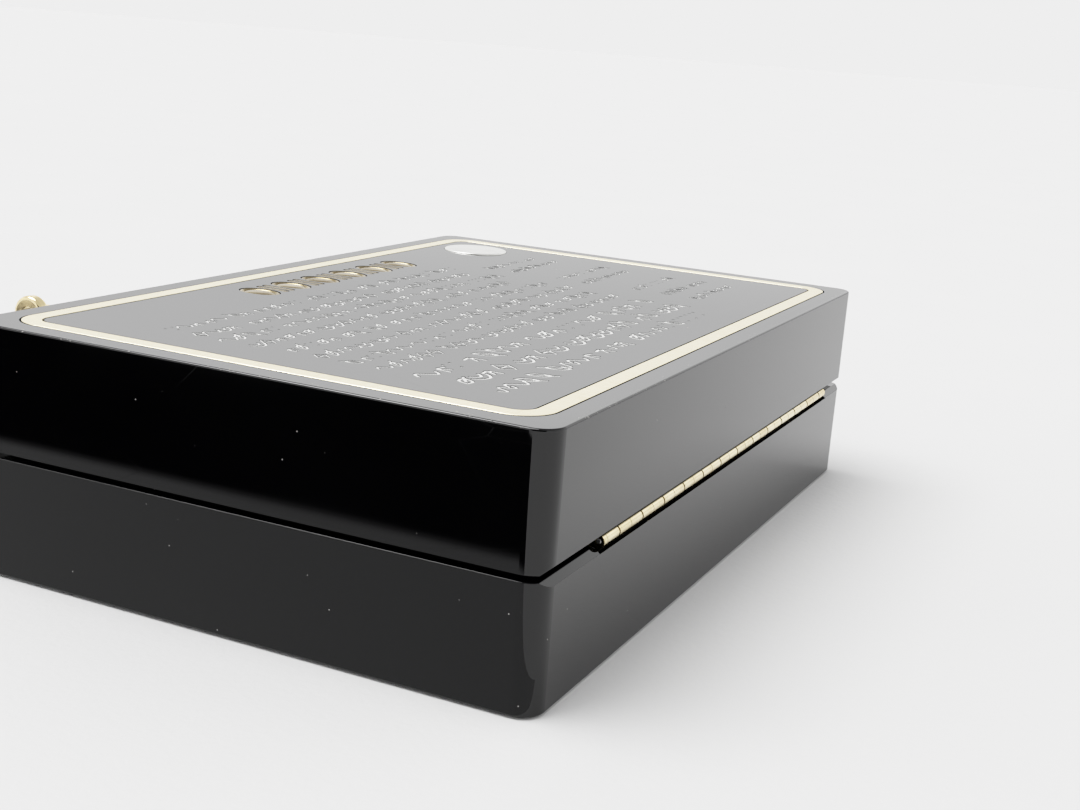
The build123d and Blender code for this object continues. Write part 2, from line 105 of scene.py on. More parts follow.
def apply_modifiers(piece):
    """Bakes a piece's modifiers into its mesh."""
    graph = bpy.context.evaluated_depsgraph_get()
    mesh = bpy.data.meshes.new_from_object(piece.evaluated_get(graph))
    piece.modifiers.clear()
    piece.data = mesh


def clean(piece):
    """Merges doubled points and makes the faces point outwards."""
    shape = bmesh.new()
    shape.from_mesh(piece.data)
    bmesh.ops.remove_doubles(shape, verts=shape.verts, dist=1e-6)
    bmesh.ops.recalc_face_normals(shape, faces=shape.faces)
    shape.to_mesh(piece.data)
    shape.free()


def dress(piece, surface):
    """Puts one material on every slot of a piece or CAD node."""
    if not piece.material_slots:
        piece.data.materials.append(surface.material)
    for place in piece.material_slots:
        place.material = surface.material


def ease(low, high, value):
    """Smooth step from 0 at low to 1 at high."""
    t = min(1.0, max(0.0, (value - low) / (high - low)))
    return t * t * (3 - 2 * t)


class Surface:
    """A node material: one Principled shader, with short calls for what drives it."""

    def __init__(self, name, **inputs):
        self.material = bpy.data.materials.new(name)
        self.material.use_nodes = True
        self.tree = self.material.node_tree
        self.shader = self.tree.nodes["Principled BSDF"]
        self.coordinates = self.tree.nodes.new("ShaderNodeTexCoord").outputs["Object"]
        self.set(**inputs)

    def plug(self, value, socket):
        if isinstance(value, bpy.types.NodeSocket):
            self.tree.links.new(value, socket)
        elif isinstance(value, tuple) and len(value) == 3 and socket.type == "RGBA":
            socket.default_value = (*value, 1.0)
        else:
            socket.default_value = value

    def set(self, **inputs):
        for name, value in inputs.items():
            self.plug(value, self.shader.inputs[name.replace("_", " ")])
        return self

    def math(self, operation, first, second=0.0):
        node = self.tree.nodes.new("ShaderNodeMath")
        node.operation = operation
        self.plug(first, node.inputs[0])
        self.plug(second, node.inputs[1])
        return node.outputs[0]

    def stretched(self, stretch):
        """Object coordinates, scaled by a factor on each axis."""
        node = self.tree.nodes.new("ShaderNodeMapping")
        node.inputs["Scale"].default_value = stretch
        self.plug(self.coordinates, node.inputs["Vector"])
        return node.outputs[0]

    def noise(self, grain, stretch=(1, 1, 1), detail=3.0, gain=0.5):
        """Noise with features about grain millimetres across."""
        node = self.tree.nodes.new("ShaderNodeTexNoise")
        node.inputs["Scale"].default_value = 1 / (grain * MM)
        node.inputs["Detail"].default_value = detail
        node.inputs["Roughness"].default_value = gain
        self.plug(self.stretched(stretch), node.inputs["Vector"])
        return node.outputs[0]

    def cells(self, grain, stretch=(1, 1, 1), feature="F1", spread=1.0):
        """Distance pattern of scattered points about grain millimetres apart."""
        node = self.tree.nodes.new("ShaderNodeTexVoronoi")
        node.feature = feature
        node.inputs["Scale"].default_value = 1 / (grain * MM)
        node.inputs["Randomness"].default_value = spread
        self.plug(self.stretched(stretch), node.inputs["Vector"])
        return node.outputs["Distance"]

    def axis(self, name):
        """One object coordinate, in metres."""
        node = self.tree.nodes.new("ShaderNodeSeparateXYZ")
        self.plug(self.coordinates, node.inputs[0])
        return node.outputs[name]

    def edge_distance(self):
        """How far a point of the case is inside its outline, in metres."""
        from_end = self.math("SUBTRACT", cad_high.x, self.math("ABSOLUTE", self.axis("X")))
        from_side = self.math("SUBTRACT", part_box("lid_shell")[1].y, self.math("ABSOLUTE", self.axis("Y")))
        return self.math("MINIMUM", from_end, from_side)

    def span(self, value, low, high, start=0.0, end=1.0):
        """Maps low..high to start..end, clamped."""
        node = self.tree.nodes.new("ShaderNodeMapRange")
        node.interpolation_type = "SMOOTHSTEP"
        self.plug(value, node.inputs["Value"])
        for key, number in zip(("From Min", "From Max", "To Min", "To Max"), (low, high, start, end)):
            node.inputs[key].default_value = number
        return node.outputs[0]

    def blend(self, factor, first, second, mode="MIX"):
        node = self.tree.nodes.new("ShaderNodeMix")
        node.data_type = "RGBA"
        node.blend_type = mode
        self.plug(factor, node.inputs[0])
        self.plug(first, node.inputs[6])
        self.plug(second, node.inputs[7])
        return node.outputs[2]

    def mix(self, factor, first, second):
        node = self.tree.nodes.new("ShaderNodeMix")
        self.plug(factor, node.inputs[0])
        self.plug(first, node.inputs[2])
        self.plug(second, node.inputs[3])
        return node.outputs[0]

    def bump(self, height, depth, strength=1.0):
        """Adds a bump whose height, from 0 to 1, stands for depth millimetres."""
        node = self.tree.nodes.new("ShaderNodeBump")
        node.inputs["Strength"].default_value = strength
        node.inputs["Distance"].default_value = depth * MM
        self.plug(height, node.inputs["Height"])
        before = self.shader.inputs["Normal"].links
        if before:
            self.tree.links.new(before[0].from_socket, node.inputs["Normal"])
        self.tree.links.new(node.outputs[0], self.shader.inputs["Normal"])
        return self


# ---------------------------------------------------------------- materials
def gloss_black(name, haze=0.0, worn_edge=None):
    """Polished black lacquer with dust specks, smears, hairlines and a rim that is worn near a height."""
    s = Surface(name, IOR=1.5)
    specks = s.span(s.cells(4.2), 0.020, 0.034, 1.0, 0.0)
    fine_specks = s.span(s.cells(1.7), 0.014, 0.022, 0.5, 0.0)
    specks = s.math("MAXIMUM", specks, s.math("MULTIPLY", fine_specks, s.span(s.noise(17), 0.5, 0.62)))
    if worn_edge:
        below_rim = s.math("ABSOLUTE", s.math("SUBTRACT", s.axis("Z"), worn_edge))
        near_rim = s.span(below_rim, 0.1 * MM, 0.35 * MM, 1.0, 0.0)
        chips = s.span(s.noise(0.5, detail=4.0), 0.62, 0.68)
        chips = s.math("MULTIPLY", chips, s.span(s.noise(9), 0.46, 0.58))
        outside = s.span(s.edge_distance(), 0.9 * MM, 1.5 * MM, 1.0, 0.0)
        specks = s.math("MAXIMUM", specks, s.math("MULTIPLY", s.math("MULTIPLY", near_rim, outside), chips))
    smear = s.noise(26, detail=2.0)
    hairs = s.span(s.cells(9, (1, 0.16, 1), "DISTANCE_TO_EDGE"), 0.0, 0.004, 1.0, 0.0)
    tone = s.blend(smear, (0.0006, 0.0006, 0.0008), (0.0014, 0.0014, 0.0017))
    s.set(Base_Color=s.blend(specks, tone, (0.30, 0.29, 0.28)))
    rough = s.span(smear, 0.35, 0.75, 0.025 + haze, 0.055 + haze)
    rough = s.mix(s.math("MULTIPLY", hairs, 0.35), rough, 0.3)
    s.set(Roughness=s.mix(specks, rough, 0.7))
    s.bump(s.noise(38, detail=1.0), 0.012)
    s.bump(specks, 0.03)
    return s


def polished(name, light, dark, roughness=0.12, grain=(1, 1, 1), grain_depth=0.0008, spots=0.25):
    """Polished metal: two close tones, rubbed grain, tarnish in patches and, with spots, small nicks."""
    s = Surface(name, Metallic=1.0)
    cloud = s.noise(7, detail=4.0)
    rub = s.noise(0.35, grain, detail=2.0)
    tone = s.blend(s.span(cloud, 0.35, 0.7), light, dark)
    nick = s.span(s.noise(1.1, detail=4.0), 0.66, 0.74)
    s.set(Base_Color=s.blend(s.math("MULTIPLY", nick, spots), tone, tuple(0.35 * v for v in dark)))
    rough = s.span(cloud, 0.3, 0.7, roughness * 0.8, roughness * 1.35)
    s.set(Roughness=s.math("ADD", rough, s.math("MULTIPLY", nick, 0.8 * spots)))
    return s.bump(rub, grain_depth).bump(nick, 0.012 * spots)


def brushed_band():
    """Pale champagne band, brushed across its width on every side."""
    s = Surface("band_brass", Metallic=1.0)
    low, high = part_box("frame_inlay")
    width = 3.35 * MM
    over_x = s.math("SUBTRACT", s.math("ABSOLUTE", s.axis("X")), high.x - width)
    over_y = s.math("SUBTRACT", s.math("ABSOLUTE", s.axis("Y")), high.y - width)
    on_end = s.math("GREATER_THAN", over_x, over_y)
    along_y = s.noise(0.22, (0.04, 1, 1), detail=4.0, gain=0.7)
    along_x = s.noise(0.22, (1, 0.04, 1), detail=4.0, gain=0.7)
    lines = s.mix(on_end, along_x, along_y)
    cloud = s.noise(9, detail=3.0)
    tone = s.blend(cloud, (0.99, 0.90, 0.66), (0.96, 0.86, 0.60))
    tone = s.blend(s.span(lines, 0.45, 0.75, 0.0, 0.35), tone, (0.82, 0.70, 0.45))
    s.set(Base_Color=tone, Roughness=s.span(lines, 0.3, 0.7, 0.24, 0.42))
    return s.bump(lines, 0.006).bump(s.noise(1.5, detail=2.0), 0.01)


def velvet(name, light, dark, pile=0.28, sheen=0.6):
    """Short pile cloth: crushed patches, sheen and a fuzz of pile tips."""
    s = Surface(name, Roughness=0.95, Sheen_Weight=sheen, Sheen_Roughness=0.35)
    crush = s.noise(11, detail=4.0)
    tips = s.noise(pile, detail=4.0, gain=0.7)
    tone = s.blend(s.span(crush, 0.35, 0.65), dark, light)
    s.set(Base_Color=s.blend(s.span(tips, 0.4, 0.7, 0.0, 0.6), tone, tuple(min(1, 1.8 * v) for v in light)))
    s.set(Sheen_Tint=tuple(min(1, 4 * v + 0.25) for v in light), Specular_IOR_Level=0.2)
    return s.bump(crush, 0.25).bump(tips, 0.14)


def matt(name, light, dark, roughness=0.7, grain=0.3, depth=0.03):
    """Matt moulded or pressed stuff with a fine grain."""
    s = Surface(name)
    fine = s.noise(grain, detail=4.0, gain=0.6)
    cloud = s.noise(14, detail=3.0)
    s.set(Base_Color=s.blend(s.mix(0.5, fine, cloud), dark, light))
    s.set(Roughness=s.span(fine, 0.3, 0.7, roughness - 0.08, roughness + 0.08))
    return s.bump(fine, depth)


black = gloss_black("shell_black")
lid_black = gloss_black("lid_black", worn_edge=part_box("lid_shell")[1].z)
panel_black = gloss_black("panel_black", 0.01)
band = brushed_band()
title_gold = polished("ornament_gold", (0.34, 0.28, 0.17), (0.22, 0.17, 0.09), 0.24)
silver = polished("disc_silver", (0.80, 0.80, 0.77), (0.72, 0.72, 0.70), 0.34, spots=0.04)
marks_silver = polished("marks_silver", (0.96, 0.96, 0.94), (0.82, 0.82, 0.80), 0.24, spots=0.1)
hinge_gold = polished("hinge_brass", (0.90, 0.78, 0.50), (0.74, 0.60, 0.33), 0.16, (0.05, 1, 1), 0.0004, 0.08)
screw_gold = polished("screw_brass", (0.90, 0.78, 0.52), (0.74, 0.60, 0.36), 0.2)
bezel_gold = polished("bezel_gold", (0.90, 0.74, 0.44), (0.85, 0.68, 0.38), 0.13, spots=0.08)
ferrule_gold = polished("ferrule_gold", (0.93, 0.80, 0.53), (0.80, 0.64, 0.36), 0.13, (1, 0.1, 0.1), 0.004)
pan_gold = polished("pan_metal", (0.90, 0.85, 0.72), (0.82, 0.75, 0.60), 0.3, (1, 1, 0.1), 0.005)
steel = polished("pin_steel", (0.66, 0.66, 0.66), (0.50, 0.50, 0.50), 0.25, (0.05, 1, 1), 0.003)
nickel = polished("magnet_nickel", (0.84, 0.83, 0.81), (0.70, 0.69, 0.67), 0.16)
mirror_glass = polished("mirror_glass", (0.95, 0.96, 0.96), (0.93, 0.94, 0.945), 0.012, (1, 1, 1), 0.0, 0.0)
lining = velvet("lining_velvet", (0.022, 0.019, 0.022), (0.007, 0.006, 0.008), sheen=0.9)
felt = velvet("felt", (0.030, 0.030, 0.032), (0.012, 0.012, 0.013), 0.6, 0.25)
rubber = matt("bumper_rubber", (0.040, 0.040, 0.040), (0.020, 0.020, 0.020), 0.6)
powder_cake = matt("powder", (0.62, 0.39, 0.27), (0.54, 0.32, 0.21), 0.85, 0.16, 0.05)
velour = velvet("puff_velour", (0.66, 0.47, 0.38), (0.54, 0.36, 0.28), 0.45, 0.5)
lacquer = gloss_black("brush_lacquer")
hair = matt("bristle", (0.16, 0.10, 0.075), (0.045, 0.028, 0.022), 0.45, 0.5, 0.0)


def satin():
    """Black satin ribbon: fine warp along its length, sheen that changes in bands."""
    s = Surface("ribbon_satin", Sheen_Weight=0.05, Specular_IOR_Level=0.35)
    warp = s.noise(0.16, (0.05, 1, 0.3), detail=3.0)
    bands = s.noise(6, (0.4, 1, 1))
    s.set(Base_Color=s.blend(warp, (0.006, 0.006, 0.008), (0.020, 0.019, 0.023)))
    s.set(Roughness=s.span(bands, 0.3, 0.7, 0.34, 0.48))
    return s.bump(warp, 0.03)


ribbon_satin = satin()

for node, surface in {
    "base_shell": black,
    "lid_shell": lid_black,
    "lid_panel": panel_black,
    "frame_inlay": band,
    "round_inlay": silver,
    "lid_wall_lining": lining,
    "mirror_backing": lining,
    "mirror": mirror_glass,
    "mirror_bezel": bezel_gold,
    "hinge_leaf_upper": hinge_gold,
    "hinge_leaf_lower": hinge_gold,
    "hinge_pin": steel,
    "hinge_screws_upper": screw_gold,
    "hinge_screws_lower": screw_gold,
    "lid_magnets": nickel,
    "base_magnets": nickel,
    "strap_eye": bezel_gold,
    "underside_felt": felt,
    "rim_liner": lining,
    "powder_pan": pan_gold,
    "rim_bumpers": rubber,
    "brush_handle": lacquer,
    "brush_ferrule": ferrule_gold,
}.items():
    dress(NODES[node], surface)


# ---------------------------------------------------------------- title garland
def add_loft(points, faces, rings, top):
    """Adds a closed shape: rings of points from the bottom up, and one point on top."""
    start = len(points)
    count = len(rings[0])
    for ring in rings:
        points.extend(ring)
    for level in range(len(rings) - 1):
        a = start + level * count
        for i in range(count):
            j = (i + 1) % count
            faces.append((a + i, a + j, a + count + j, a + count + i))
    faces.append(tuple(start + i for i in reversed(range(count))))
    last = start + (len(rings) - 1) * count
    points.append(top)
    for i in range(count):
        faces.append((last + i, last + (i + 1) % count, len(points) - 1))


def oval_ring(x, y, z, half_x, half_y, squareness, count):
    """One ring of a rounded oval; squareness 2 is an ellipse, and more is boxier."""
    ring = []
    for i in range(count):
        a = math.tau * i / count
        c, s = math.cos(a), math.sin(a)
        power = 2 / squareness
        ring.append((
            x + half_x * math.copysign(abs(c) ** power, c),
            y + half_y * math.copysign(abs(s) ** power, s),
            z,
        ))
    return ring


BEAD_PROFILE = (
    (1.0, 0.0), (1.0, 0.55), (0.985, 0.74), (0.95, 0.84), (0.90, 0.86), (0.86, 0.80), (0.83, 0.62),
    (0.80, 0.50), (0.76, 0.53), (0.70, 0.66), (0.58, 0.82), (0.42, 0.93), (0.22, 0.99),
)
REEL_PROFILE = ((1.0, 0.0), (1.0, 0.6), (0.94, 0.78), (0.80, 0.90), (0.55, 0.98), (0.25, 1.0))


def make_title():
    """A row of domed beads with pairs of reels between them, in the panel's pockets."""
    low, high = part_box("title_ornament")
    beads, bead_x, reel_x = 6, 6.4 * MM / 2, 1.3 * MM / 2
    bead_y, reel_y = (high.y - low.y) / 2, 7.8 * MM / 2
    pitch = (high.x - low.x - 2 * bead_x) / (beads - 1)
    height = 0.92 * MM
    middle_y = (low.y + high.y) / 2
    points, faces = [], []
    for i in range(beads):
        x = low.x + bead_x + pitch * i
        rings = [
            oval_ring(x, middle_y, low.z + height * z, bead_x * r, bead_y * r, 2.0, 56)
            for r, z in BEAD_PROFILE
        ]
        add_loft(points, faces, rings, (x, middle_y, low.z + height))
    for i in range(beads - 1):
        for side in (-1, 1):
            x = low.x + bead_x + pitch * (i + 0.5) + side * 1.04 * MM
            rings = [
                oval_ring(
                    x, middle_y, low.z + height * 0.94 * z,
                    reel_x * r, reel_y * (1 - (1 - r) * 0.2), 5.0, 32,
                )
                for r, z in REEL_PROFILE
            ]
            add_loft(points, faces, rings, (x, middle_y, low.z + height * 0.94))
    piece = link_mesh("title_garland", points, faces)
    dress(piece, title_gold)
    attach(piece, "lid")
    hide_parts("title_ornament")


make_title()


# ---------------------------------------------------------------- rows of ornament
MARKS_LEFT = 70.3
MARK_ROWS = {
    "front": [(-27.2, 108, 3.6), (-20.9, 104, 3.6), (-14.9, 108, 3.6), (-8.9, 100, 3.6)],
    "middle": [(-2.2, 106, 3.6), (4.3, 108, 3.6), (10.7, 102, 3.6), (16.7, 104, 3.6)],
    "rear": [(24.4, 106, 4.9), (31.6, 104, 4.9), (39.0, 100, 4.9)],
}
SIDE_ROWS = [(y, 28, 3.0) for y in (-20.9, -14.9, -2.2, 4.3, 16.7, 24.4, 31.6)]
SIDE_LEFT = -42.0
TALL = 1.35


def arc(cx, cy, radius, start, end, steps=9, squash=1.0):
    """Points of an arc, in turns of a circle."""
    return [
        (
            cx + radius * math.cos(math.tau * (start + (end - start) * i / steps)),
            cy + squash * radius * math.sin(math.tau * (start + (end - start) * i / steps)),
        )
        for i in range(steps + 1)
    ]


def leaf(cx, cy, length, turn):
    """A closed leaf outline with a midrib, pointing along turn (radians)."""
    lines = []
    for side in (-1, 1):
        edge = []
        for i in range(9):
            t = i / 8
            edge.append((length * (t - 0.5), side * 0.26 * length * math.sin(math.pi * t)))
        lines.append(edge)
    lines.append([(-0.75 * length, 0), (0.15 * length, 0)])
    c, s = math.cos(turn), math.sin(turn)
    return [[(cx + x * c - y * s, cy + x * s + y * c) for x, y in line] for line in lines]


def berries(cx, cy, size):
    """Three dots in a triangle."""
    return [
        [(cx + dx * size, cy + dy * size), (cx + dx * size + 0.02, cy + dy * size)]
        for dx, dy in ((-0.3, -0.25), (0.3, -0.25), (0, 0.3))
    ]


def sprig(cx, cy, size, turn):
    """Three strokes fanning out round a point."""
    lines = []
    for swing in (-0.75, 0.0, 0.75):
        a = turn + swing
        lines.append([
            (cx + 0.12 * size * math.cos(a), cy + 0.12 * size * math.sin(a)),
            (cx + 0.62 * size * math.cos(a), cy + 0.62 * size * math.sin(a)),
        ])
    return lines


def wave(cx, cy, size, turns):
    """A rolling wave, turns periods long."""
    return [[
        (cx + size * (i / 14 - 0.5) * 1.3, cy + 0.26 * size * math.sin(math.tau * turns * i / 14))
        for i in range(15)
    ]]


def lozenge(cx, cy, size):
    """A closed diamond with a bar across."""
    h = 0.46 * size
    return [[(cx - h, cy), (cx, cy + h), (cx + h, cy), (cx, cy - h), (cx - h, cy)],
            [(cx - 0.5 * h, cy), (cx + 0.5 * h, cy)]]


def fan(cx, cy, size):
    """Two nested arcs, as in a scale pattern."""
    foot = cy - 0.35 * size
    return [arc(cx, foot, 0.75 * size, 0.08, 0.42), arc(cx, foot, 0.42 * size, 0.06, 0.44)]


def unit(kind, cx, cy, size, draw):
    """The lines of one ornament, in millimetres."""
    if kind == "leaf":
        return leaf(cx, cy, 0.95 * size, draw.choice((0.9, -0.9, 0.5, 2.3)))
    if kind == "berries":
        return berries(cx, cy, size)
    if kind == "sprig":
        return sprig(cx, cy - 0.2 * size, size, draw.choice((0.9, 1.6, 2.2)))
    if kind == "wave":
        return wave(cx, cy, size, draw.choice((1.0, 1.5)))
    if kind == "lozenge":
        return lozenge(cx, cy, size)
    return fan(cx, cy, size)


FAMILIES = (
    ("leaf", "sprig", "leaf", "berries", "wave"),
    ("fan", "lozenge", "leaf", "wave", "sprig"),
)


def stroke(points, faces, line, width, height, base):
    """Adds one stroke with a rounded back and round ends along a line in millimetres."""
    profile = [(0.5, 0.0), (0.5, 0.55), (0.40, 0.86), (0.16, 1.0)]
    profile += [(-s, h) for s, h in reversed(profile)]
    count = len(profile)
    path = [Vector(p) for p in line]
    first = (path[1] - path[0]).normalized()
    last = (path[-1] - path[-2]).normalized()
    stations = []
    for along, scale in ((-0.5, 0.02), (-0.42, 0.55), (-0.2, 0.92)):
        stations.append((path[0] + first * along * width, first, scale))
    for i, p in enumerate(path):
        before, after = path[max(0, i - 1)], path[min(len(path) - 1, i + 1)]
        stations.append((p, (after - before).normalized(), 1.0))
    for along, scale in ((0.2, 0.92), (0.42, 0.55), (0.5, 0.02)):
        stations.append((path[-1] + last * along * width, last, scale))
    start = len(points)
    for p, along, scale in stations:
        across = Vector((-along.y, along.x))
        for s, h in profile:
            q = p + across * s * width * scale
            points.append((q.x * MM, q.y * MM, base + h * height * MM * max(scale, 0.25)))
    for k in range(len(stations) - 1):
        a = start + k * count
        for i in range(count - 1):
            faces.append((a + i, a + count + i, a + count + i + 1, a + i + 1))
        faces.append((a + count - 1, a + 2 * count - 1, a + count, a))
    faces.append(tuple(start + i for i in range(count)))
    end = start + (len(stations) - 1) * count
    faces.append(tuple(end + i for i in reversed(range(count))))


# Millimetres below the panel's face, and shares of a row's figure size.
GROOVE_DEPTH = 0.12
FILL_DEPTH = 0.035
FILL_HEIGHT = 0.13
FILL_WIDTH = 0.125
GROOVE_HALF_WIDTH = 0.0675
grooves = []


def make_marks(name, rows, left, draw):
    """One block of ornament rows: bright fills that lie below the panel's face, in their grooves."""
    points, faces = [], []
    base = cad_top - (FILL_DEPTH + FILL_HEIGHT) * MM
    for index, (y, length, size) in enumerate(rows):
        x, group = left, draw.randint(3, 6)
        family = FAMILIES[index % 2]
        while left - x < length - size:
            step = size * draw.uniform(0.84, 1.02)
            for line in unit(draw.choice(family), x - step / 2, 0, size * draw.uniform(0.74, 0.86), draw):
                cut = [(u, y + TALL * v) for u, v in line]
                stroke(points, faces, cut, FILL_WIDTH * size, FILL_HEIGHT, base)
                grooves.append(([Vector(p) for p in cut], GROOVE_HALF_WIDTH * size))
            x -= step
            group -= 1
            if group == 0:
                x -= size * 0.55
                group = draw.randint(2, 7)
    piece = link_mesh("filled_marks_" + name, points, faces)
    dress(piece, marks_silver)
    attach(piece, "lid")


cad_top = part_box("lid_panel")[1].z
mark_draw = random.Random(SEED)
for block, rows in MARK_ROWS.items():
    make_marks(block, rows, MARKS_LEFT, mark_draw)
make_marks("side", SIDE_ROWS, SIDE_LEFT, mark_draw)


def groove_outline(path, half):
    """Closed outline round a line: both sides at a half width, with blunt round ends."""
    end_reach, end_half = 0.8, 0.6
    left, right = [], []
    for i, p in enumerate(path):
        before, after = path[max(0, i - 1)], path[min(len(path) - 1, i + 1)]
        along = (after - before).normalized()
        across = Vector((-along.y, along.x)) * half
        left.append(p + across)
        right.append(p - across)
    first, last = (path[0] - path[1]).normalized(), (path[-1] - path[-2]).normalized()
    nose_tip, tail_tip = path[-1] + last * half * end_reach, path[0] + first * half * end_reach
    nose = [nose_tip + side * (left[-1] - path[-1]) * end_half for side in (1, -1)]
    tail = [tail_tip - side * (left[0] - path[0]) * end_half for side in (1, -1)]
    return left + nose + right[::-1] + tail


def groove_cells():
    """The grooves' straight pieces, filed under every millimetre square that they touch."""
    cells = {}
    for path, half in grooves:
        for a, b in zip(path, path[1:]):
            columns = range(math.floor(min(a.x, b.x) - half), math.floor(max(a.x, b.x) + half) + 1)
            rows = range(math.floor(min(a.y, b.y) - half), math.floor(max(a.y, b.y) + half) + 1)
            for column in columns:
                for row in rows:
                    cells.setdefault((column, row), []).append((a, b, half))
    return cells


def in_groove(p, cells):
    """Whether a point of the panel's face lies in a groove."""
    margin = 0.97
    for a, b, half in cells.get((math.floor(p.x), math.floor(p.y)), ()):
        ab = b - a
        t = max(0.0, min(1.0, (p - a).dot(ab) / ab.length_squared))
        if (p - a - ab * t).length < half * margin:
            return True
    return False


def panel_face(old, tops):
    """Corners of the panel's flat face in the plane, and its facets as indices into them."""
    place, verts, link = {}, [], {}
    for i in sorted({i for polygon in tops for i in polygon.vertices}):
        key = (round(old[i].x, 4), round(old[i].y, 4))
        if key not in place:
            place[key] = len(verts)
            verts.append(old[i].xy)
        link[i] = place[key]
    plates = [[link[i] for i in polygon.vertices] for polygon in tops]
    return verts, [plate for plate in plates if len(set(plate)) == len(plate)]


def make_cut_panel():
    """The lid's panel with every ornament cut into its face as a steep-sided groove."""
    source = NODES["lid_panel"].data
    top = cad_top / MM
    old = [v.co / MM for v in source.vertices]
    tops = [p for p in source.polygons if all(abs(old[i].z - top) < 1e-3 for i in p.vertices)]
    verts, plates = panel_face(old, tops)
    edges = []
    for path, half in grooves:
        ring = groove_outline(path, half)
        start = len(verts)
        verts += ring
        edges += [(start + i, start + (i + 1) % len(ring)) for i in range(len(ring))]
    flat, _, facets, _, _, owners = delaunay_2d_cdt(verts, edges, plates, 0, 1e-5)
    points = [(v.x * MM, v.y * MM, cad_top) for v in flat]
    cells, lowered, borders, faces = groove_cells(), {}, {}, []

    def down(i):
        """Index of the point on the groove's floor under a point of the face."""
        if i not in lowered:
            lowered[i] = len(points)
            points.append((flat[i].x * MM, flat[i].y * MM, cad_top - GROOVE_DEPTH * MM))
        return lowered[i]

    for facet in [f for f, own in zip(facets, owners) if own]:
        middle = sum((flat[i] for i in facet), Vector((0, 0))) / len(facet)
        deep = in_groove(middle, cells)
        faces.append([down(i) for i in facet] if deep else list(facet))
        for a, b in zip(facet, list(facet[1:]) + [facet[0]]):
            borders.setdefault((min(a, b), max(a, b)), []).append((deep, a, b))
    for sides in borders.values():
        if len(sides) == 2 and sides[0][0] != sides[1][0]:
            _, a, b = sides[1] if sides[0][0] else sides[0]
            faces.append([b, a, down(a), down(b)])
    offset, cut_away = len(points), {p.index for p in tops}
    points += [tuple(v * MM for v in p) for p in old]
    rest = [p for p in source.polygons if p.index not in cut_away]
    faces += [[offset + i for i in p.vertices] for p in rest]
    piece = link_mesh("cut_panel", points, faces, smooth=False)
    clean(piece)
    dress(piece, panel_black)
    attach(piece, "lid")
    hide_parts("lid_panel")


make_cut_panel()


# ---------------------------------------------------------------- pressed powder
def make_powder():
    """The cake of powder, with a pressed rosette, a beaded ring and a rounded edge."""
    low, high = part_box("pressed_powder")
    centre = (low + high) / 2
    radius = (high.x - low.x) / 2
    edge_z = high.z - 1.3 * MM
    rings, spokes = 110, 288

    def height(r, a):
        t = r / radius
        z = edge_z + (high.z - 0.12 * MM - edge_z) * (1 - t * t)
        petals = 0.5 + 0.5 * math.cos(12 * a)
        inner = ease(0.04, 0.10, t) * (1 - ease(0.34 + 0.16 * petals, 0.38 + 0.16 * petals, t))
        rib = abs(math.sin(6 * a))
        z -= 0.85 * MM * inner * (0.35 + 0.65 * rib ** 0.7)
        channel = ease(0.66, 0.675, t) * (1 - ease(0.745, 0.76, t))
        beads = 0.5 + 0.5 * math.cos(72 * a)
        z -= channel * 0.6 * MM * (1 - 0.8 * beads * math.sin(math.pi * min(1, max(0, (t - 0.66) / 0.1))))
        z -= 0.7 * MM * ease(0.965, 1.0, t) ** 2
        return z

    points, faces = [], []
    for i in range(rings + 1):
        r = radius * i / rings
        for j in range(spokes):
            a = math.tau * j / spokes
            points.append((centre.x + r * math.cos(a), centre.y + r * math.sin(a), height(r, a)))
    for j in range(spokes):
        a = math.tau * j / spokes
        points.append((centre.x + radius * math.cos(a), centre.y + radius * math.sin(a), low.z))
    for i in range(rings + 1):
        for j in range(spokes):
            k = (j + 1) % spokes
            faces.append((i * spokes + j, (i + 1) * spokes + j, (i + 1) * spokes + k, i * spokes + k))
    bottom = (rings + 1) * spokes
    faces.append(tuple(bottom + j for j in reversed(range(spokes))))
    piece = link_mesh("powder_cake", points, faces)
    clean(piece)
    dress(piece, powder_cake)
    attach(piece, "base")
    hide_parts("pressed_powder")


make_powder()


# ---------------------------------------------------------------- flocked tray
def make_tray():
    """The velvet tray: the fitted shape under a soft pile that rounds each edge."""
    source = NODES["insert_tray"]
    piece = bpy.data.objects.new("velvet_tray", source.data.copy())
    bpy.context.scene.collection.objects.link(piece)
    remesh = piece.modifiers.new("even", "REMESH")
    remesh.mode = "VOXEL"
    remesh.voxel_size = 0.9 * MM
    smooth = piece.modifiers.new("soften", "SMOOTH")
    smooth.factor = 0.5
    smooth.iterations = 3
    apply_modifiers(piece)
    low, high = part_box("insert_tray")
    for vertex in piece.data.vertices:
        p = vertex.co
        lump = noise.noise(p / (13 * MM)) + 0.5 * noise.noise(p / (5 * MM))
        p.z += 0.10 * MM * lump * ease(high.z - 4 * MM, high.z - 0.5 * MM, p.z)
        p.z = min(p.z, high.z)
    for polygon in piece.data.polygons:
        polygon.use_smooth = True
    dress(piece, lining)
    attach(piece, "base")
    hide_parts("insert_tray")


make_tray()


# ---------------------------------------------------------------- puff and ribbon
def lathe_profile_puff(radius, low_z, high_z):
    """Half outline of the puff: flat-bottomed, full side, crowned top."""
    mid = (low_z + high_z) / 2
    half = (high_z - low_z) / 2
    outline = []
    for i in range(25):
        a = math.pi * (i / 24 - 0.5)
        c, s = math.cos(a), math.sin(a)
        outline.append((radius * abs(c) ** 0.42, mid + half * math.copysign(abs(s) ** 0.9, s)))
    return outline


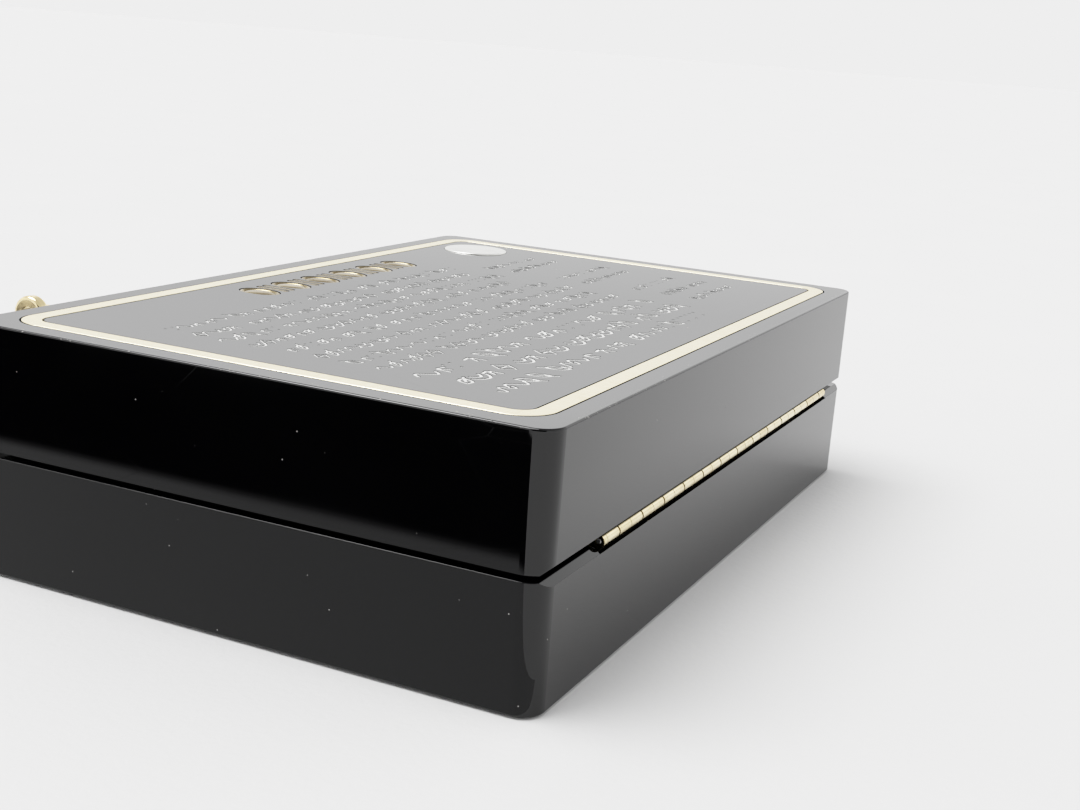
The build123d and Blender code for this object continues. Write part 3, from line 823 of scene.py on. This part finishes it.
RIBBON_LOW, RIBBON_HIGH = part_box("puff_ribbon")
RIBBON_HALF_LENGTH = (RIBBON_HIGH.x - RIBBON_LOW.x) / 2
RIBBON_HALF_WIDTH = (RIBBON_HIGH.y - RIBBON_LOW.y) / 2
RIBBON_RISE = RIBBON_HIGH.z - RIBBON_LOW.z - 0.7 * MM
RIBBON_CIRCLE = (RIBBON_HALF_LENGTH ** 2 + RIBBON_RISE ** 2) / (2 * RIBBON_RISE)


def ribbon_height(x):
    """Height of the ribbon's middle at a distance x along it from its top."""
    x = min(abs(x), RIBBON_HALF_LENGTH)
    return RIBBON_LOW.z + 0.36 * MM + math.sqrt(RIBBON_CIRCLE ** 2 - x ** 2) - (RIBBON_CIRCLE - RIBBON_RISE)


def make_puff():
    """A velour puff: the shell is blown up as cloth, then a seam is drawn in round its side."""
    low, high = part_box("puff")
    centre = (low + high) / 2
    radius = (high.x - low.x) / 2
    inset = 1.6 * MM
    outline = lathe_profile_puff(radius - inset, low.z + 0.9 * MM, high.z - 1.5 * MM)
    spokes = 96
    points, faces = [], []
    for r, z in outline[1:-1]:
        for j in range(spokes):
            a = math.tau * j / spokes
            points.append((centre.x + r * math.cos(a), centre.y + r * math.sin(a), z))
    count = len(outline) - 2
    for i in range(count - 1):
        for j in range(spokes):
            k = (j + 1) % spokes
            faces.append((i * spokes + j, i * spokes + k, (i + 1) * spokes + k, (i + 1) * spokes + j))
    points.append((centre.x, centre.y, outline[0][1]))
    points.append((centre.x, centre.y, outline[-1][1]))
    for j in range(spokes):
        k = (j + 1) % spokes
        faces.append((len(points) - 2, k, j))
        faces.append((len(points) - 1, (count - 1) * spokes + j, (count - 1) * spokes + k))
    piece = link_mesh("puff_cushion", points, faces)
    remesh = piece.modifiers.new("even", "REMESH")
    remesh.mode = "VOXEL"
    remesh.voxel_size = 1.5 * MM
    apply_modifiers(piece)
    swell(piece, 1.3 * MM)
    finer = piece.modifiers.new("finer", "SUBSURF")
    finer.levels = finer.render_levels = 1
    apply_modifiers(piece)
    for vertex in piece.data.vertices:
        p = vertex.co
        out = Vector((p.x - centre.x, p.y - centre.y, 0))
        distance = out.length
        angle = math.atan2(out.y, out.x)
        side = ease(0.80, 0.97, distance / radius)
        gather = 0.10 * MM * math.cos(angle * 46 + 2.5 * math.sin(3 * angle)) * side
        seam_z = centre.z - 0.6 * MM
        seam = math.exp(-(((p.z - seam_z) / (0.55 * MM)) ** 2)) * side
        if distance > 0:
            p += out / distance * (gather - 0.9 * MM * seam)
        lump = noise.noise(p / (9 * MM)) + 0.5 * noise.noise(p / (4 * MM))
        p.z += 0.28 * MM * lump * ease(low.z + 2 * MM, high.z - 2 * MM, p.z)
        out = Vector((p.x - centre.x, p.y - centre.y, 0))
        if out.length > radius - 0.05 * MM:
            p.x, p.y = (centre.xy + out.xy * (radius - 0.05 * MM) / out.length)
        p.z = min(high.z - 0.1 * MM, max(low.z + 0.02 * MM, p.z))
        pressed = 1 - ease(RIBBON_HALF_WIDTH - 0.5 * MM, RIBBON_HALF_WIDTH + 1.8 * MM, abs(p.y - centre.y))
        from_end = RIBBON_HALF_LENGTH - abs(p.x - centre.x)
        pressed *= ease(1.0 * MM, 3.0 * MM, from_end)
        over = p.z - (ribbon_height(p.x - centre.x) - 0.5 * MM)
        if over > 0:
            p.z -= over * pressed
    for polygon in piece.data.polygons:
        polygon.use_smooth = True
    dress(piece, velour)
    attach(piece, "puff")
    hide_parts("puff")
    return piece


def swell(piece, cap):
    """Blows a closed shape up as cloth under pressure, and caps how far its points move."""
    before = [v.co.copy() for v in piece.data.vertices]
    cloth = piece.modifiers.new("swell", "CLOTH")
    cloth.settings.quality = 6
    cloth.settings.mass = 0.05
    cloth.settings.tension_stiffness = 15
    cloth.settings.compression_stiffness = 15
    cloth.settings.bending_stiffness = 0.4
    cloth.settings.use_pressure = True
    cloth.settings.uniform_pressure_force = 4
    cloth.settings.effector_weights.gravity = 0
    cloth.collision_settings.use_collision = False
    scene = bpy.context.scene
    for number in range(1, 21):
        scene.frame_set(number)
    apply_modifiers(piece)
    scene.frame_set(1)
    for vertex, start in zip(piece.data.vertices, before):
        move = vertex.co - start
        if move.length > cap:
            vertex.co = start + move * (cap / move.length)


def make_ribbon():
    """A satin ribbon that arches over the puff, with sewn edges and a slight buckle."""
    centre = (RIBBON_LOW + RIBBON_HIGH) / 2
    thick = 0.34 * MM
    steps, across = 90, 24
    points, faces = [], []
    for side in (1, -1):
        for i in range(steps + 1):
            t = 2 * i / steps - 1
            x = RIBBON_HALF_LENGTH * t * 0.995
            for j in range(across + 1):
                s = 2 * j / across - 1
                taper = 1 - 0.10 * abs(t) ** 5
                cup = -0.16 * MM * s * s + 0.10 * MM * math.sin(5 * t + 1.2 * s) * (1 - t * t)
                hem = 0.07 * MM * ease(0.86, 0.93, abs(s))
                z = ribbon_height(x) + cup + side * (thick / 2 + hem * (side > 0))
                points.append((centre.x + x, centre.y + s * RIBBON_HALF_WIDTH * taper * 0.985, z))
    row, sheet_points = across + 1, (steps + 1) * (across + 1)
    for i in range(steps):
        for j in range(across):
            a = i * row + j
            faces.append((a, a + row, a + row + 1, a + 1))
            b = sheet_points + a
            faces.append((b, b + 1, b + row + 1, b + row))
    for i in range(steps):
        for j in (0, across):
            a = i * row + j
            faces.append((a, a + row, sheet_points + a + row, sheet_points + a))
    for j in range(across):
        for i in (0, steps):
            a = i * row + j
            faces.append((a, a + 1, sheet_points + a + 1, sheet_points + a))
    piece = link_mesh("puff_handle_ribbon", points, faces)
    clean(piece)
    dress(piece, ribbon_satin)
    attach(piece, "puff")
    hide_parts("puff_ribbon")


puff_cushion = make_puff()
make_ribbon()


# ---------------------------------------------------------------- brush head
def make_bristles():
    """Tapered hairs that fill the brush's head."""
    low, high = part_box("brush_bristles")
    axis_y, axis_z = (low.y + high.y) / 2, (low.z + high.z) / 2
    belly = (high.z - low.z) / 2
    mouth_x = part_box("brush_ferrule")[1].x
    mouth = 3.7 * MM
    root_x = mouth_x - 1.5 * MM
    draw = random.Random(SEED + 1)
    points, faces = [], []
    stations = (0.0, 0.15, 0.35, 0.6, 0.82, 1.0)
    hairs, sides, thick = 1500, 3, 0.085 * MM

    def spread(t, fill):
        """Radius of the bundle at t of its length, for a hair at fill of its mouth."""
        bulge = mouth + (belly - 0.15 * MM - mouth) * ease(0.0, 0.45, t)
        return bulge * (1 - 0.45 * ease(0.45, 1.0, t) * fill) * fill

    for n in range(hairs):
        fill = math.sqrt((n + 0.5) / hairs) * draw.uniform(0.97, 1.0)
        angle = n * 2.399963 + draw.uniform(-0.1, 0.1)
        reach = (high.x - root_x) * (1 - 0.30 * fill ** 3.2) * draw.uniform(0.955, 0.995)
        sway = draw.uniform(-0.16, 0.16)
        start = len(points)
        for t in stations:
            r = spread(t * reach / (high.x - root_x), fill)
            a = angle + sway * t * t
            width = thick * (1 - 0.75 * t * t)
            for k in range(sides):
                turn = math.tau * k / sides + a
                points.append((
                    root_x + reach * t,
                    axis_y + r * math.cos(a) + width * math.cos(turn),
                    axis_z + r * math.sin(a) + width * math.sin(turn),
                ))
        for level in range(len(stations) - 1):
            b = start + level * sides
            for k in range(sides):
                m = (k + 1) % sides
                faces.append((b + k, b + m, b + sides + m, b + sides + k))
        faces.append(tuple(start + k for k in reversed(range(sides))))
        end = start + (len(stations) - 1) * sides
        faces.append(tuple(end + k for k in range(sides)))
    piece = link_mesh("brush_hairs", points, faces)
    dress(piece, hair)
    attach(piece, "brush")
    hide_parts("brush_bristles")


make_bristles()


# ---------------------------------------------------------------- stage and light
TONE = (
    (0.0, 0.0), (0.01, 0.004), (0.05, 0.042), (0.2, 0.2), (0.45, 0.445), (0.65, 0.59), (0.9, 0.72),
    (1.1, 0.795), (1.3, 0.855), (1.7, 0.925), (2.4, 0.975), (4.0, 1.0),
)


def set_tone():
    """A soft shoulder, so that pale surfaces brighter than white keep their detail."""
    view = bpy.context.scene.view_settings
    view.view_transform = "Standard"
    view.use_curve_mapping = True
    mapping = view.curve_mapping
    mapping.use_clip = False
    mapping.clip_max_x = TONE[-1][0]
    points = mapping.curves[3].points
    while len(points) < len(TONE):
        points.new(0.5, 0.5)
    for point, place in zip(points, TONE):
        point.location = place
    mapping.update()


def stage_quad(name, corners, material):
    """A flat stage surface through four corners, in metres."""
    piece = link_mesh(name, corners, [(0, 1, 2, 3)], smooth=False)
    piece.data.materials.append(material)
    return piece


def make_floor():
    """Pale leatherette with a fine wrinkled grain."""
    s = Surface("stage_floor", Roughness=0.75, Specular_IOR_Level=0.2)
    s.set(Base_Color=s.blend(s.noise(60, detail=2.0), (0.80, 0.797, 0.795), (0.77, 0.77, 0.772)))
    s.bump(s.noise(0.9, detail=3.0), 0.05)
    s.bump(s.cells(1.6, feature="SMOOTH_F1"), 0.05)
    reach = 12.0
    z = -0.05 * MM
    corners = [(-reach, -reach, z), (reach, -reach, z), (reach, reach, z), (-reach, reach, z)]
    stage_quad("floor", corners, s.material)


def make_card(name, corners, near_glow, far_glow=None, fade=(0.0, 1.0)):
    """A reflector that only gloss sees: a painted reflection, glowing or black, that lights nothing and casts
    no shadow; its glow can change along X between two places.
    """
    s = Surface(name, Base_Color=(0, 0, 0), Specular_IOR_Level=0.0, Emission_Color=(1, 1, 1))
    glow = near_glow
    if far_glow is not None:
        glow = s.span(s.axis("X"), *fade, near_glow, far_glow)
    s.set(Emission_Strength=glow)
    card = stage_quad(name, corners, s.material)
    # Hidden from all but glossy rays, so the card is painted reflection only.
    card.visible_camera = False
    card.visible_diffuse = False
    card.visible_shadow = False
    card.visible_transmission = False


def facing_corners(towards, distance, width, height):
    """Corners of an upright rectangle that faces the object from a direction."""
    ahead = Vector(towards).normalized()
    right = ahead.cross(Vector((0, 0, 1))).normalized()
    up = right.cross(ahead)
    middle = ahead * distance
    signs = ((-1, -1), (1, -1), (1, 1), (-1, 1))
    return [middle + right * width / 2 * u + up * height / 2 * v for u, v in signs]


def make_sun(name, towards, strength, spread):
    """A distant soft light from a direction; spread is its width in degrees."""
    data = bpy.data.lights.new(name, "SUN")
    data.energy = strength
    data.angle = math.radians(spread)
    lamp = bpy.data.objects.new(name, data)
    lamp.rotation_mode = "QUATERNION"
    lamp.rotation_quaternion = Vector(towards).to_track_quat("Z", "Y")
    bpy.context.scene.collection.objects.link(lamp)


def make_world():
    """A pale surround, a little brighter in a belt above the horizon."""
    world = bpy.data.worlds.new("surround")
    world.use_nodes = True
    tree = world.node_tree
    where = tree.nodes.new("ShaderNodeTexCoord").outputs["Generated"]
    split = tree.nodes.new("ShaderNodeSeparateXYZ")
    tree.links.new(where, split.inputs[0])
    belt = tree.nodes.new("ShaderNodeValToRGB")
    tree.links.new(split.outputs["Z"], belt.inputs[0])
    ramp = belt.color_ramp
    while len(ramp.elements) < len(SKY):
        ramp.elements.new(0.5)
    for element, (at, level) in zip(ramp.elements, SKY):
        element.position = at
        element.color = (level, level, level, 1)
    tree.links.new(belt.outputs[0], tree.nodes["Background"].inputs[0])
    bpy.context.scene.world = world


SKY = (
    (0.0, 1.30), (0.05, 1.30), (0.11, 1.10), (0.17, 1.16),
    (0.24, 1.58), (0.36, 1.62), (0.6, 0.80), (1.0, 0.66),
)
make_floor()
make_world()
# Painted reflection in the case's end faces: a card only gloss sees, glowing like dim floor near them and
# black beyond.
flat, end, reach = 0.4 * MM, cad_high.x + 0.6 * MM, 0.252
end_floor = [(end, -0.09, flat), (reach, -0.25, flat), (reach, 0.03, flat), (end, 0.07, flat)]
make_card("painted_reflection_end_floor", end_floor, 0.76, 0.0, (0.149, 0.157))
# Painted dark reflection: a black card only gloss sees, so the end faces mirror black.
make_card("painted_dark_reflection_end_wall", facing_corners((1.0, 0.36, 0.33), 0.9, 0.9, 0.62), 0.0)
# Painted highlight: a bright card only gloss sees, which shows as a line of light on the lid's top edge and
# as glints on the metal.
make_card("painted_highlight_window", facing_corners((0.283, -0.469, 0.837), 1.64, 0.5, 0.42), 16.0)
make_sun("key", (0.22, -0.38, 0.90), 2.75, 44)
set_tone()
